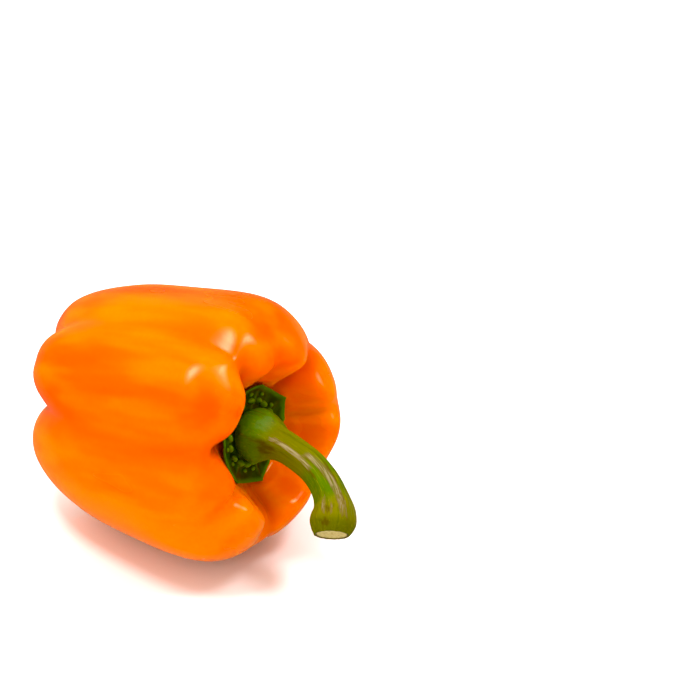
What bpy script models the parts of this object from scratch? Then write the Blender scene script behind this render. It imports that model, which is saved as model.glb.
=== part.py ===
"""A bell pepper lying on its side: a lobed fruit, a green calyx in its hollow and a curved, cut stem.

The three pieces are shaped in the fruit's own frame, in millimetres: +Z runs along the fruit's axis to the
stem, and +X is the side that faces the ground once the pepper lies. The empty pepper_pose lays them down.
"""
import math
import random

import bmesh
import bpy
import numpy as np
from mathutils import Matrix, Vector
from mathutils.bvhtree import BVHTree

MM = 0.001
TURN = 2 * math.pi

# How the pepper lies: its axis leans from upright, then turns about the vertical.
LEAN = math.radians(81.9)
HEADING = math.radians(-35.1)
PLACE = (-4.6, 4.7, 38.2)

# The fruit, without its lobes and furrows.
FRUIT_RADIUS = 42.4
FRUIT_LENGTH = 97.4
TWIST = 0.135
TWIST_ABOUT = 0.3
BEND = (-2.1, -0.9)
SKEW = (1.3, -2.4)

# The profile from the middle of the stem's hollow (0) to the middle of the blossom end (1).
# A lobe's crest and a furrow's floor each have a radius and a drop below the top, as shares of the fruit's.
PROFILE_AT = (0.00, 0.11, 0.17, 0.26, 0.35, 0.45, 0.56, 0.67, 0.78, 0.86, 0.94, 1.00)
CREST_RADIUS = (0.000, 0.345, 0.425, 0.608, 0.890, 0.998, 0.968, 0.890, 0.701, 0.405, 0.144, 0.000)
CREST_DROP = (0.205, 0.188, 0.135, 0.026, 0.126, 0.243, 0.492, 0.725, 0.924, 1.011, 0.963, 0.930)
FLOOR_RADIUS = (0.000, 0.330, 0.430, 0.596, 0.786, 0.905, 0.912, 0.819, 0.596, 0.330, 0.130, 0.000)
FLOOR_DROP = (0.205, 0.203, 0.185, 0.120, 0.112, 0.275, 0.489, 0.704, 0.879, 0.938, 0.945, 0.930)

# The furrows: angle round the axis, how far it wanders on the way to the tip, and depth at four places.
DEPTH_AT = (0.10, 0.25, 0.55, 0.85, 1.00)
FURROWS = (
    (40.7, 0.0, (0.91, 0.94, 1.21, 1.12)),
    (125.6, 0.0, (1.10, 1.45, 1.04, 0.97)),
    (197.7, -12.0, (1.12, 1.22, 0.90, 0.75)),
    (252.9, 0.0, (1.20, 1.30, 1.15, 1.30)),
    (350.0, 0.0, (0.80, 1.00, 1.20, 1.05)),
)
DEPTH_AT_TIP = 1.0
FURROW_SOFTNESS = (0.04, 0.03, 0.16, 0.08, 0.30)
FURROW_SHARPNESS = (2.5, 2.6, 2.2, 2.2, 2.2)

# The lobes, each from its furrow to the next: swell of its side, lift of its shoulder, reach of its tip.
LOBES = (
    (0.990, 0.8, -1.7),
    (1.042, 1.3, 4.7),
    (0.954, -1.8, -1.5),
    (1.032, 1.0, 1.2),
    (0.905, -1.8, -1.2),
)
SWELL_START = 0.10
SWELL_RISE = 0.25
SHOULDER_AT = 0.27
SHOULDER_SPREAD = 0.12
TIP_AT = 0.88
TIP_SPREAD = 0.13

# Shallow creases that run over a shoulder only: angle, half-width in degrees, depth, and where they end.
CREASES = (
    (169.0, 9.0, 0.42, 0.70),
    (91.0, 6.5, 0.52, 0.40),
    (290.0, 8.0, 0.55, 0.58),
    (337.0, 6.0, 0.30, 0.50),
)
CREASE_START = 0.07
CREASE_RISE = 0.08
CREASE_FALL = 0.25

# The calyx: a cornered dish that lines the hollow. Its corners are angles and radii about its own centre.
CALYX_CENTRE = (0.2, -2.4)
CALYX_CORNERS = (
    (5, 17.8), (26, 15.8), (81, 16.8), (108, 17.4), (156, 15.6), (199, 15.2), (263, 14.8), (315, 17.0),
)
CALYX_THICKNESS = 1.4
EDGE_THINNING = 0.35
CALYX_LIFT = 0.5
CALYX_SEAT_HEIGHT = 31.1
CALYX_SEAT_RADIUS = 8.8
CALYX_SEAT_BLEND = 0.4
RIM_LIFT = 0.5
CORNER_LIFT = 0.4
EDGE_BOW = -0.03
CORNER_REACH = 8
RIB_HEIGHT = 0.5

# The nodules round the stem's foot: a row of large ones, and a few small ones beyond it.
NODULE_ROWS = (
    {"count": 17, "ring": 10.3, "height": 1.7, "long": 1.55, "wide": 1.05},
    {"count": 13, "ring": 12.3, "height": 0.8, "long": 0.85, "wide": 0.70},
)
NODULE_SCATTER = 0.2
NODULE_SMALLEST = 0.75
NODULE_ROUNDNESS = 0.6
NODULE_SEED = 7

# The stem: a centreline, and its radius by the distance run along it.
STEM_GAP = 0.3
STEM_POINTS = (
    (0.2, -2.4, CALYX_SEAT_HEIGHT + STEM_GAP),
    (0.9, -3.0, 40.0),
    (2.9, -3.8, 49.5),
    (7.7, -5.7, 60.0),
    (14.5, -9.9, 67.3),
    (21.8, -16.1, 70.3),
)
STEM_RADII = (
    (0.0, 7.2), (2.0, 8.1), (4.5, 8.6), (7.0, 8.1), (9.5, 6.7), (12.0, 5.5), (16.0, 4.9), (26.0, 4.8),
    (36.0, 5.0), (40.0, 5.5), (44.0, 6.7), (47.0, 7.1), (49.5, 6.3), (51.0, 5.3),
)
STEM_RIBS = 5
STEM_RIB_DEPTH = 0.13
STEM_RIB_MEAN = 0.375
STEM_RIB_FADE = 0.2
STEM_RIB_ANGLE = math.radians(240)

# How finely each mesh is divided.
COLUMNS_PER_LOBE = 16
CROWDING = 0.6
FRUIT_ROWS = 46
HOLLOW_END = 0.4
HOLLOW_ROWS = 40
HOLLOW_COLUMNS = 72
CALYX_COLUMNS_PER_MM = 0.85
CALYX_FEWEST_COLUMNS = 4
CALYX_RINGS = (0.25, 0.5, 0.55, 0.585, 0.62, 0.655, 0.69, 0.725, 0.765, 0.81, 0.865, 0.93, 1.0)
STEM_SIDES = 20
STEM_STEP = 1.7
SHARP_EDGE = math.radians(50)

# Colours (linear) and roughness of the three skins.
ORANGE = (0.90, 0.19, 0.004)
ORANGE_ROUGHNESS = 0.18
LEAF_GREEN = (0.045, 0.13, 0.012)
LEAF_ROUGHNESS = 0.35
STALK_GREEN = (0.16, 0.24, 0.02)
STALK_ROUGHNESS = 0.40


def hermite(knots, values, at):
    """Smooth curve through (knots, values), read at the numbers in at."""
    knots = np.asarray(knots, float)
    values = np.asarray(values, float)
    slopes = np.gradient(values)
    slopes[1:-1] = (values[2:] - values[:-2]) / (knots[2:] - knots[:-2])
    slopes[0] = (values[1] - values[0]) / (knots[1] - knots[0])
    slopes[-1] = (values[-1] - values[-2]) / (knots[-1] - knots[-2])
    i = np.clip(np.searchsorted(knots, at, side="right") - 1, 0, len(knots) - 2)
    width = knots[i + 1] - knots[i]
    t = (at - knots[i]) / width
    start = (2 * t**3 - 3 * t**2 + 1) * values[i] + (t**3 - 2 * t**2 + t) * width * slopes[i]
    end = (3 * t**2 - 2 * t**3) * values[i + 1] + (t**3 - t**2) * width * slopes[i + 1]
    return start + end


def hermite_round(angles, values, at):
    """The same curve closed round a full turn."""
    order = np.argsort(np.asarray(angles) % TURN)
    angles = (np.asarray(angles, float) % TURN)[order]
    values = np.asarray(values, float)[order]
    knots = np.concatenate([angles[-2:] - TURN, angles, angles[:2] + TURN])
    padded = np.concatenate([values[-2:], values, values[:2]])
    return hermite(knots, padded, at % TURN)


def signed_turn(angle):
    """An angle brought between minus and plus half a turn."""
    return (angle + math.pi) % TURN - math.pi


def ease(share):
    """A smooth step from 0 to 1."""
    share = np.clip(share, 0, 1)
    return share**2 * (3 - 2 * share)


def furrow_depth(along, angle):
    """How far each point lies from a lobe's crest (0) to a furrow's floor (1)."""
    furrow_angles = np.radians([furrow[0] for furrow in FURROWS])
    widths = np.diff(np.append(furrow_angles, furrow_angles[0] + TURN))
    softness = hermite(DEPTH_AT, FURROW_SOFTNESS, along)
    sharpness = hermite(DEPTH_AT, FURROW_SHARPNESS, along)
    depth = np.zeros(np.broadcast_shapes(along.shape, angle.shape))
    for number, (_, wander, depths) in enumerate(FURROWS):
        offset = signed_turn(angle - furrow_angles[number] - math.radians(wander) * (along - TWIST_ABOUT))
        half_width = np.where(offset >= 0, widths[number], widths[number - 1]) / 2
        x = np.abs(offset) / half_width
        x = np.sqrt(x**2 + softness**2) - softness**2 / (1 + softness)
        strength = hermite(DEPTH_AT, depths + (DEPTH_AT_TIP,), along)
        depth += strength * np.clip(1 - x, 0, 1) ** sharpness
    for degrees, half_width, strength, end in CREASES:
        offset = signed_turn(angle - math.radians(degrees))
        fade = ease((along - CREASE_START) / CREASE_RISE) * ease((end - along) / CREASE_FALL)
        depth += strength * fade * np.exp(-((offset / math.radians(half_width)) ** 2))
    return depth


def fruit_surface(along, angle, furrowed=1):
    """Points of the skin at positions down the profile and angles round it. No furrows if furrowed is 0."""
    along = np.asarray(along, float)[:, None]
    angle = np.asarray(angle, float)[None, :]
    furrow_angles = np.radians([furrow[0] for furrow in FURROWS])
    middles = furrow_angles + np.diff(np.append(furrow_angles, furrow_angles[0] + TURN)) / 2
    swell = hermite_round(middles, [lobe[0] for lobe in LOBES], angle)
    shoulder = hermite_round(middles, [lobe[1] for lobe in LOBES], angle)
    tip = hermite_round(middles, [lobe[2] for lobe in LOBES], angle)

    swell = 1 + (swell - 1) * np.clip((along - SWELL_START) / SWELL_RISE, 0, 1)
    near_shoulder = np.exp(-(((along - SHOULDER_AT) / SHOULDER_SPREAD) ** 2))
    near_tip = np.exp(-(((along - TIP_AT) / TIP_SPREAD) ** 2))
    crest_r = hermite(PROFILE_AT, CREST_RADIUS, along) * FRUIT_RADIUS * swell
    floor_r = hermite(PROFILE_AT, FLOOR_RADIUS, along) * FRUIT_RADIUS * swell
    crest_z = near_shoulder * shoulder - near_tip * tip
    crest_z -= hermite(PROFILE_AT, CREST_DROP, along) * FRUIT_LENGTH
    floor_z = -hermite(PROFILE_AT, FLOOR_DROP, along) * FRUIT_LENGTH - 0.5 * near_tip * tip

    depth = furrow_depth(along, angle) * furrowed
    radius = crest_r + depth * (floor_r - crest_r)
    z = crest_z + depth * (floor_z - crest_z) + FRUIT_LENGTH / 2
    turned = angle + TWIST * (along - TWIST_ABOUT)
    height = z / (FRUIT_LENGTH / 2)
    x = radius * np.cos(turned) + BEND[0] * (height**2 - 1) + SKEW[0] * height
    y = radius * np.sin(turned) + BEND[1] * (height**2 - 1) + SKEW[1] * height
    return np.stack([x, y, z], axis=-1)


def lobe_columns(per_lobe):
    """Angles of the mesh's columns: one on each furrow's floor, and closer together near it."""
    furrow_angles = np.radians([furrow[0] for furrow in FURROWS])
    ends = np.append(furrow_angles[1:], furrow_angles[0] + TURN)
    share = np.arange(per_lobe) / per_lobe
    share = share - CROWDING * np.sin(TURN * share) / TURN
    return np.concatenate([start + share * (end - start) for start, end in zip(furrow_angles, ends)])


def skin(rings, start_pole=None, end_pole=None):
    """A closed mesh from rings of points: quads between rings, and a fan or a flat face at each end."""
    mesh = bmesh.new()
    loops = [[mesh.verts.new(Vector(point) * MM) for point in ring] for ring in rings]
    count = len(loops[0])
    for near, far in zip(loops, loops[1:]):
        for i in range(count):
            j = (i + 1) % count
            mesh.faces.new((near[i], far[i], far[j], near[j]))
    for loop, pole in ((loops[0], start_pole), (loops[-1], end_pole)):
        if pole is None:
            mesh.faces.new(loop)
            continue
        tip = mesh.verts.new(Vector(pole) * MM)
        for i in range(count):
            mesh.faces.new((loop[i], loop[(i + 1) % count], tip))
    bmesh.ops.recalc_face_normals(mesh, faces=mesh.faces)
    if mesh.calc_volume(signed=True) < 0:
        bmesh.ops.reverse_faces(mesh, faces=mesh.faces)
    return mesh


def make_object(name, mesh, material, parent):
    """Turn a bmesh into a named object on the pose's empty, shaded smooth."""
    data = bpy.data.meshes.new(name)
    mesh.to_mesh(data)
    mesh.free()
    data.shade_smooth()
    data.set_sharp_from_angle(angle=SHARP_EDGE)
    data.materials.append(material)
    item = bpy.data.objects.new(name, data)
    item.parent = parent
    bpy.context.scene.collection.objects.link(item)
    return item


def make_material(name, colour, roughness):
    """A plain non-metal skin."""
    material = bpy.data.materials.new(name)
    material.use_nodes = True
    shader = material.node_tree.nodes["Principled BSDF"]
    shader.inputs["Base Color"].default_value = (*colour, 1)
    shader.inputs["Roughness"].default_value = roughness
    shader.inputs["Metallic"].default_value = 0.0
    return material


def make_fruit(pose):
    """The lobed fruit, with a small flat spot where it rests on the ground."""
    points = fruit_surface(np.linspace(0, 1, FRUIT_ROWS), lobe_columns(COLUMNS_PER_LOBE))
    mesh = skin(points[1:-1], start_pole=points[0, 0], end_pole=points[-1, 0])
    to_fruit = pose_matrix().inverted()
    down = to_fruit.to_3x3() @ Vector((0, 0, -1))
    cut = bmesh.ops.bisect_plane(
        mesh,
        geom=mesh.verts[:] + mesh.edges[:] + mesh.faces[:],
        plane_co=to_fruit @ Vector((0, 0, 0)),
        plane_no=down,
        clear_outer=True,
    )
    edges = [item for item in cut["geom_cut"] if isinstance(item, bmesh.types.BMEdge)]
    bmesh.ops.contextual_create(mesh, geom=edges)
    bmesh.ops.recalc_face_normals(mesh, faces=mesh.faces)
    return make_object("fruit", mesh, make_material("fruit_skin", ORANGE, ORANGE_ROUGHNESS), pose)


def hollow_floor():
    """A tree of the hollow's faces without its furrows, for finding its height under a point."""
    angles = np.linspace(0, TURN, HOLLOW_COLUMNS, endpoint=False)
    points = fruit_surface(np.linspace(0, HOLLOW_END, HOLLOW_ROWS), angles, furrowed=0)
    rows, columns = points.shape[:2]
    vertices = [Vector(point) for point in points.reshape(-1, 3)]
    faces = []
    for i in range(rows - 1):
        for j in range(columns):
            k = (j + 1) % columns
            faces.append((i * columns + j, (i + 1) * columns + j, (i + 1) * columns + k, i * columns + k))
    return BVHTree.FromPolygons(vertices, faces)


def round_point(angle, radius):
    """A flat point at an angle and a radius."""
    return Vector((math.cos(angle), math.sin(angle))) * radius


def calyx_rim():
    """Points along the dish's edge, each with its nearness to a corner."""
    rim = []
    corners = [round_point(math.radians(degrees), radius) for degrees, radius in CALYX_CORNERS]
    for start, end in zip(corners, corners[1:] + corners[:1]):
        columns = max(CALYX_FEWEST_COLUMNS, round((end - start).length * CALYX_COLUMNS_PER_MM))
        for j in range(columns):
            share = j / columns
            bow = 1 - EDGE_BOW * math.sin(math.pi * share)
            rim.append((start.lerp(end, share) * bow, math.cos(math.pi * share) ** CORNER_REACH))
    return rim


def nodules():
    """The small bumps: place, direction round the ring, height, and half-sizes along and across the ring."""
    scatter = random.Random(NODULE_SEED)
    bumps = []
    for row in NODULE_ROWS:
        for i in range(row["count"]):
            angle = TURN * (i + scatter.uniform(-NODULE_SCATTER, NODULE_SCATTER)) / row["count"]
            place = round_point(angle, row["ring"] + scatter.uniform(-NODULE_SCATTER, NODULE_SCATTER))
            size = scatter.uniform(NODULE_SMALLEST, 1.0)
            bumps.append((place, angle, size * row["height"], size * row["long"], size * row["wide"]))
    return bumps


def nodule_height(point, bumps):
    """How far the nodules raise the dish at a point of it."""
    raised = 0.0
    for place, angle, height, half_length, half_width in bumps:
        offset = point - place
        across = offset.x * math.cos(angle) + offset.y * math.sin(angle)
        around = offset.y * math.cos(angle) - offset.x * math.sin(angle)
        reach = (across / half_width) ** 2 + (around / half_length) ** 2
        if reach < 1:
            raised = max(raised, height * (1 - reach) ** NODULE_ROUNDNESS)
    return raised


def calyx_heights(point, share, near_corner, floor, bumps):
    """Underside and top of the dish at a point, at a share of the way from its centre to its edge."""
    above = Vector((point.x + CALYX_CENTRE[0], point.y + CALYX_CENTRE[1], FRUIT_LENGTH))
    hit = floor.ray_cast(above, Vector((0, 0, -1)))[0]
    low = hit.z + CALYX_LIFT + (RIM_LIFT + CORNER_LIFT * near_corner) * share**4
    high = low + CALYX_THICKNESS * (1 - EDGE_THINNING * share**2)
    high += RIB_HEIGHT * near_corner**2 * math.sin(math.pi * share) ** 2
    high += nodule_height(point, bumps)
    off_seat = ease((point.length - CALYX_SEAT_RADIUS) / CALYX_SEAT_BLEND)
    return low, CALYX_SEAT_HEIGHT + (high - CALYX_SEAT_HEIGHT) * off_seat


def make_calyx(pose):
    """The dish: its underside follows the hollow, and its top carries ribs, nodules and a raised edge."""
    floor = hollow_floor()
    bumps = nodules()
    rim = calyx_rim()
    top = []
    under = []
    for share in CALYX_RINGS:
        top_ring = []
        under_ring = []
        for edge, near_corner in rim:
            point = edge * share
            low, high = calyx_heights(point, share, near_corner, floor, bumps)
            x, y = point.x + CALYX_CENTRE[0], point.y + CALYX_CENTRE[1]
            top_ring.append((x, y, high))
            under_ring.append((x, y, low))
        top.append(top_ring)
        under.append(under_ring)
    middle = np.mean(np.array(under[0]), axis=0)
    mesh = skin(top + under[::-2], start_pole=(middle[0], middle[1], CALYX_SEAT_HEIGHT), end_pole=middle)
    return make_object("calyx", mesh, make_material("calyx_skin", LEAF_GREEN, LEAF_ROUGHNESS), pose)


def stem_centreline():
    """Points and distances run along the stem's middle."""
    points = np.array(STEM_POINTS)
    knots = np.append(0, np.cumsum(np.linalg.norm(np.diff(points, axis=0), axis=1)))
    steps = round(knots[-1] / STEM_STEP)
    at = np.linspace(0, knots[-1], steps + 1)
    line = np.stack([hermite(knots, points[:, k], at) for k in range(3)], axis=-1)
    return line, at * STEM_RADII[-1][0] / knots[-1]


def make_stem(pose):
    """The stalk: a ribbed tube on a curved centreline, swollen at its foot and its cut end."""
    line, run = stem_centreline()
    distances, radii = zip(*STEM_RADII)
    thickness = hermite(distances, radii, run)
    tangents = np.gradient(line, axis=0)
    tangents[0] = (0, 0, 1)
    side = Vector((1, 0, 0))
    rings = []
    for point, radius, tangent, distance in zip(line, thickness, tangents, run):
        forward = Vector(tangent).normalized()
        side = (side - side.dot(forward) * forward).normalized()
        across = forward.cross(side)
        share = distance / STEM_RADII[-1][0]
        ribbing = STEM_RIB_DEPTH * ease(share / STEM_RIB_FADE) * ease((1 - share) / STEM_RIB_FADE)
        ring = []
        for i in range(STEM_SIDES):
            angle = TURN * i / STEM_SIDES
            rib = (0.5 + 0.5 * math.cos(STEM_RIBS * (angle - STEM_RIB_ANGLE))) ** 2 - STEM_RIB_MEAN
            reach = radius * (1 + ribbing * rib)
            ring.append(Vector(point) + (side * math.cos(angle) + across * math.sin(angle)) * reach)
        rings.append(ring)
    return make_object("stem", skin(rings), make_material("stem_skin", STALK_GREEN, STALK_ROUGHNESS), pose)


def pose_matrix():
    """The pose that lays the pepper down, in metres."""
    turn = Matrix.Rotation(HEADING, 4, "Z") @ Matrix.Rotation(LEAN, 4, "Y")
    return Matrix.Translation(Vector(PLACE) * MM) @ turn


def main():
    """Clear the scene and build the three pieces."""
    for item in list(bpy.data.objects):
        bpy.data.objects.remove(item, do_unlink=True)
    pose = bpy.data.objects.new("pepper_pose", None)
    pose.location = Vector(PLACE) * MM
    pose.rotation_euler = (0, LEAN, HEADING)
    bpy.context.scene.collection.objects.link(pose)
    make_fruit(pose)
    make_calyx(pose)
    make_stem(pose)


main()
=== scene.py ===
"""The looks of a bell pepper lying on its side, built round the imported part.

Shapes are worked out in millimetres in the fruit's own frame: +Z runs along the fruit's axis to the stem, and
+X is the side that faces the ground once the pepper lies. lay_down() turns them into metres in the row frame.
"""

import math
import random

import bpy
import numpy as np
from mathutils import Matrix, Vector, noise
from mathutils.bvhtree import BVHTree


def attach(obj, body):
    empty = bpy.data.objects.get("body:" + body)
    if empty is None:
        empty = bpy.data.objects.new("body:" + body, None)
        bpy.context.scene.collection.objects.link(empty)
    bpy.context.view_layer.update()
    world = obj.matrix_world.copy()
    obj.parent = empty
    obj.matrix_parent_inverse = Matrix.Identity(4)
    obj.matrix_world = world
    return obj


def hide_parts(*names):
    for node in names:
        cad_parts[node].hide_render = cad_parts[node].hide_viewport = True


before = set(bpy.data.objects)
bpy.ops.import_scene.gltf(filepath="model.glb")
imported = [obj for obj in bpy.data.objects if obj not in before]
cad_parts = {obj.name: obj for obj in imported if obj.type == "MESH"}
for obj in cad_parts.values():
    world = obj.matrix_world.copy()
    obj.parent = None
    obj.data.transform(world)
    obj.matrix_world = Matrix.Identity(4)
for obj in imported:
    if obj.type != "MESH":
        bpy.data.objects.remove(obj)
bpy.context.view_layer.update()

MM = 0.001
TURN = 2 * math.pi

# How the pepper lies, as in the part: its axis leans from upright, then turns about the vertical.
LEAN = math.radians(81.9)
HEADING = math.radians(-35.1)
PLACE = (-4.6, 4.7, 38.2)

# The fruit, without its lobes and furrows.
FRUIT_RADIUS = 42.4
FRUIT_LENGTH = 97.4
TWIST = 0.135
TWIST_ABOUT = 0.3
BEND = (-2.1, -0.9)
SKEW = (1.3, -2.4)

# The profile from the middle of the stem's hollow (0) to the middle of the blossom end (1).
# A lobe's crest and a furrow's floor each have a radius and a drop below the top, as shares of the fruit's.
PROFILE_AT = (0.00, 0.11, 0.17, 0.26, 0.35, 0.45, 0.56, 0.67, 0.78, 0.86, 0.94, 1.00)
CREST_RADIUS = (0.000, 0.345, 0.425, 0.608, 0.890, 0.998, 0.968, 0.890, 0.701, 0.405, 0.144, 0.000)
CREST_DROP = (0.205, 0.188, 0.135, 0.026, 0.126, 0.243, 0.492, 0.725, 0.924, 1.011, 0.963, 0.930)
FLOOR_RADIUS = (0.000, 0.330, 0.430, 0.596, 0.786, 0.905, 0.912, 0.819, 0.596, 0.330, 0.130, 0.000)
FLOOR_DROP = (0.205, 0.203, 0.185, 0.120, 0.112, 0.275, 0.489, 0.704, 0.879, 0.938, 0.945, 0.930)

# The furrows: angle round the axis, how far it wanders on the way to the tip, and depth at four places.
DEPTH_AT = (0.10, 0.25, 0.55, 0.85, 1.00)
FURROWS = (
    (40.7, 0.0, (0.91, 0.94, 1.21, 1.12)),
    (125.6, 0.0, (1.10, 1.45, 1.04, 0.97)),
    (197.7, -12.0, (1.12, 1.22, 0.90, 0.75)),
    (252.9, 0.0, (1.20, 1.30, 1.15, 1.30)),
    (350.0, 0.0, (0.80, 1.00, 1.20, 1.05)),
)
DEPTH_AT_TIP = 1.0
FURROW_SOFTNESS = (0.04, 0.03, 0.16, 0.08, 0.30)
FURROW_SHARPNESS = (2.5, 2.6, 2.2, 2.2, 2.2)

# The lobes, each from its furrow to the next: swell of its side, lift of its shoulder, reach of its tip. A
# furrow's floor takes part of that reach.
LOBES = (
    (0.990, 0.8, -1.7),
    (1.042, 1.3, 4.7),
    (0.954, -1.8, -1.5),
    (1.032, 1.0, 1.2),
    (0.905, -1.8, -1.2),
)
SWELL_START = 0.10
SWELL_RISE = 0.25
SHOULDER_AT = 0.27
SHOULDER_SPREAD = 0.12
TIP_AT = 0.88
TIP_SPREAD = 0.13
FLOOR_REACH = 0.5

# Shallow creases that run over a shoulder only: angle, half-width in degrees, depth, and where they end.
CREASES = (
    (169.0, 9.0, 0.42, 0.70),
    (91.0, 6.5, 0.52, 0.40),
    (290.0, 8.0, 0.55, 0.58),
    (337.0, 6.0, 0.30, 0.50),
)
CREASE_START = 0.07
CREASE_RISE = 0.08
CREASE_FALL = 0.25

# The skin's own unevenness: long soft waves, and fine ripples that run over the shoulders into the hollow.
WAVE_SIZE = 15.0
WAVE_STRETCH = 2.2
WAVE_HEIGHT = 0.16
RIPPLES_PER_TURN = 30.0
RIPPLES_LENGTHWISE = 3
RIPPLE_HEIGHT = 0.09
RIPPLE_AT = 0.24
RIPPLE_SPREAD = 0.11

# The calyx: a cornered dish that lines the hollow. Its corners are angles and radii about its own centre.
CALYX_CENTRE = (0.2, -2.4)
CALYX_CORNERS = (
    (5, 17.8), (26, 15.8), (81, 16.8), (108, 17.4), (156, 15.6), (199, 15.2), (263, 14.8), (315, 17.0),
)
CALYX_THICKNESS = 1.4
EDGE_THINNING = 0.35
CALYX_LIFT = 0.5
CALYX_SEAT_HEIGHT = 31.1
CALYX_SEAT_RADIUS = 8.6
CALYX_SEAT_BLEND = 0.6
RIM_LIFT = 0.5
CORNER_LIFT = 0.4
EDGE_BOW = -0.03
CORNER_REACH = 8
RIB_HEIGHT = 0.7
CREPE_HEIGHT = 0.20
CREPE_SIZE = 1.6

# The nodules round the stem's foot: a row of large ones, and a few small ones beyond it.
NODULE_ROWS = (
    {"count": 17, "ring": 10.3, "height": 1.9, "long": 1.70, "wide": 1.15},
    {"count": 13, "ring": 12.4, "height": 1.0, "long": 1.00, "wide": 0.80},
)
NODULE_SCATTER = 0.2
NODULE_SMALLEST = 0.75
NODULE_ROUNDNESS = 0.6
NODULE_SEED = 7

# The stem: a centreline, and its radius by the distance run along it. Its grooves and lumps rise from nothing
# over the first few millimetres, and its cut rim is ragged.
STEM_GAP = 0.3
STEM_POINTS = (
    (0.2, -2.4, CALYX_SEAT_HEIGHT + STEM_GAP),
    (0.9, -3.0, 40.0),
    (2.9, -3.8, 49.5),
    (7.7, -5.7, 60.0),
    (14.5, -9.9, 67.3),
    (21.8, -16.1, 70.3),
)
STEM_RADII = (
    (0.0, 7.2), (2.0, 8.1), (4.5, 8.6), (7.0, 8.1), (9.5, 6.7), (12.0, 5.5), (16.0, 4.9), (26.0, 4.8),
    (36.0, 5.0), (40.0, 5.5), (44.0, 6.7), (47.0, 7.1), (49.5, 6.3), (51.0, 5.3),
)
STEM_RIBS = 5
STEM_RIB_DEPTH = 0.13
STEM_RIB_MEAN = 0.375
STEM_RIB_FADE = 0.2
STEM_RIB_ANGLE = math.radians(240)
GROOVE_HEIGHT = 0.12
GROOVE_SIZE = 1.1
GROOVE_STRETCH = 14.0
LUMP_HEIGHT = 0.17
LUMP_SIZE = 0.9
RIM_RAGGED = 0.30
RIM_LENGTH = 1.2
RELIEF_RISE = 3

# A ridge on the stem's swollen foot: where it starts and ends, its angle at each end, its height, its
# half-width in degrees, and how steeply its ends rise.
FOOT_RIDGE = {"start": 1.5, "end": 14.0, "from": 248, "to": 232, "height": 1.30, "half_width": 12.0}
RIDGE_STEEPNESS = 3

# Dry scars on the stem: where each starts and ends along it, its angle at each end, and its half-width.
SCARS = (
    {"start": 11.5, "end": 31.0, "from": 226, "to": 236, "half_width": 1.10},
    {"start": 23.5, "end": 48.0, "from": 205, "to": 176, "half_width": 1.35},
    {"start": 39.5, "end": 47.5, "from": 234, "to": 228, "half_width": 0.70},
    {"start": 40.5, "end": 47.5, "from": 214, "to": 208, "half_width": 0.55},
)
SCAR_TAPER = 6.0
SCAR_HEIGHT = 0.14
SCAR_STEEPNESS = 3

# Dark stains on the stem: distance along it, angle, and half-sizes in millimetres and degrees.
STAINS = (
    {"run": 11.5, "angle": 266, "length": 4.0, "width": 26.0},
    {"run": 48.6, "angle": 221, "length": 1.6, "width": 20.0},
    {"run": 44.5, "angle": 222, "length": 2.6, "width": 9.0},
    {"run": 31.0, "angle": 238, "length": 3.5, "width": 6.0},
    {"run": 36.0, "angle": 178, "length": 9.0, "width": 6.0},
)

# The cut end of the stem: the hollow's rings as shares of the end's radius, and how deep each lies.
CUT_RINGS = (
    (0.985, 0.10), (0.95, 0.02), (0.91, 0.02), (0.87, 0.25), (0.80, 0.42), (0.60, 0.45), (0.35, 0.42),
    (0.16, 0.40), (0.10, 0.60), (0.05, 0.75),
)

# How finely each mesh is divided. The dish's underside keeps one ring in three.
COLUMNS_PER_LOBE = 60
CROWDING = 0.6
FRUIT_ROWS = 270
HOLLOW_END = 0.4
HOLLOW_ROWS = 80
HOLLOW_COLUMNS = 144
CALYX_COLUMNS_PER_MM = 3.4
CALYX_TOP_RINGS = 62
CALYX_INNER_SHARE = 0.3
CALYX_OUTER_SHARE = 0.975
CALYX_UNDER_EVERY = 3
CALYX_EDGE_STEPS = 6
STEM_SIDES = 160
STEM_STEP = 0.35

# The camera stands where it sees the pepper as the photograph does. Offsets are from the pepper's place.
CAMERA_OFFSET = (55.704, -611.83, 340.70)
CAMERA_DIP = math.radians(27.449)
SENSOR = 36.0
PHOTO_SIZE = 700
FOCAL_PIXELS = 2170
CLIP_START = 0.01

# The studio: two soft boxes overhead that the skin mirrors, two wide screens behind and at the left that it
# doesn't, a warm room that is dimmer where it is mirrored, a white backdrop and a glossy white floor.
SOFT_BOXES = (
    {"towards": (-0.20, -0.12, 0.97), "distance": 1.1, "size": 0.28, "power": 8.8, "mirrored": True},
    {"towards": (0.45, -0.12, 0.88), "distance": 1.1, "size": 0.23, "power": 5.4, "mirrored": True},
    {"towards": (-0.10, 0.80, 0.60), "distance": 1.6, "size": 1.80, "power": 32.0, "mirrored": False},
    {"towards": (-0.80, -0.58, 0.18), "distance": 1.6, "size": 1.20, "power": 13.0, "mirrored": False},
)
ROOM = (1.05, 0.95, 0.85, 1)
MIRRORED_ROOM = (0.28, 0.27, 0.22, 1)
BACKDROP = (1.0, 1.0, 1.0, 1)
BLUE_TOE = 0.022
FLOOR_SIZE = 3.0
FLOOR_BELOW = 0.0002
FLOOR_WHITE = 0.93
FLOOR_ROUGHNESS = 0.15
FLOOR_SPECULAR = 1.0
FLOOR_IOR = 1.8

# How deep the orange is round the fruit: angle, and a share from light to deep orange. It is set lobe by lobe
# to how bright each lobe looks, so it holds painted shade of the lobes as well as their own tone.
ORANGE_DEPTH_AND_SHADE = (
    (0, 0.25), (40, 0.50), (90, 0.15), (140, 0.28), (165, 0.70), (190, 0.40), (205, 0.52), (225, 0.60),
    (245, 0.70), (265, 0.42), (300, 0.12), (330, 0.00),
)
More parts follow.
